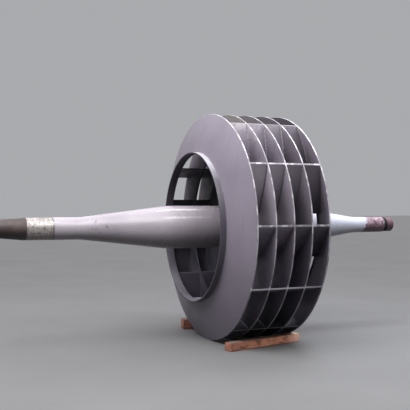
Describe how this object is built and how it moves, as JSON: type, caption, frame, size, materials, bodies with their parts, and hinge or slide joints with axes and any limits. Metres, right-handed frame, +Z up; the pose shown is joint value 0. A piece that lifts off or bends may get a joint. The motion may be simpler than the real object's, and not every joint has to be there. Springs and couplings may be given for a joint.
{
  "type": "double-inlet centrifugal fan impeller on its shaft",
  "caption": "Welded double-inlet centrifugal fan wheel with slightly curved, backward-leaning blades between conical shrouds, on a stepped and tapered shaft, chocked by timbers.",
  "frame": {"origin": "on the floor under the middle of the shaft's length", "axes": "+X along the shaft towards its far end, +Z up, -Y is the side seen in the picture"},
  "size_m": [4.35, 2.24, 2.24],
  "materials": {
    "wheel_paint": "satin grey paint",
    "blade_paint": "thin grey primer",
    "hub_paint": "satin grey paint",
    "shaft_paint": "glossy grey paint with bare and rusted journals",
    "timber": "rough sawn softwood"
  },
  "bodies": {
    "root": {"shaft": "shaft_paint", "hub": "hub_paint", "centre_plate": "wheel_paint", "drive_end_shroud": "wheel_paint", "drive_end_inlet_collar": "wheel_paint", "drive_end_stiffening_ring": "wheel_paint", "drive_end_blade_01": "blade_paint", "drive_end_blade_02": "blade_paint", "drive_end_blade_03": "blade_paint", "drive_end_blade_04": "blade_paint", "drive_end_blade_05": "blade_paint", "drive_end_blade_06": "blade_paint", "drive_end_blade_07": "blade_paint", "drive_end_blade_08": "blade_paint", "drive_end_blade_09": "blade_paint", "drive_end_blade_10": "blade_paint", "drive_end_blade_11": "blade_paint", "drive_end_blade_12": "blade_paint", "far_end_shroud": "wheel_paint", "far_end_inlet_collar": "wheel_paint", "far_end_stiffening_ring": "wheel_paint", "far_end_blade_01": "blade_paint", "far_end_blade_02": "blade_paint", "far_end_blade_03": "blade_paint", "far_end_blade_04": "blade_paint", "far_end_blade_05": "blade_paint", "far_end_blade_06": "blade_paint", "far_end_blade_07": "blade_paint", "far_end_blade_08": "blade_paint", "far_end_blade_09": "blade_paint", "far_end_blade_10": "blade_paint", "far_end_blade_11": "blade_paint", "far_end_blade_12": "blade_paint", "near_timber": "timber", "far_timber": "timber"}
  },
  "joints": []
}
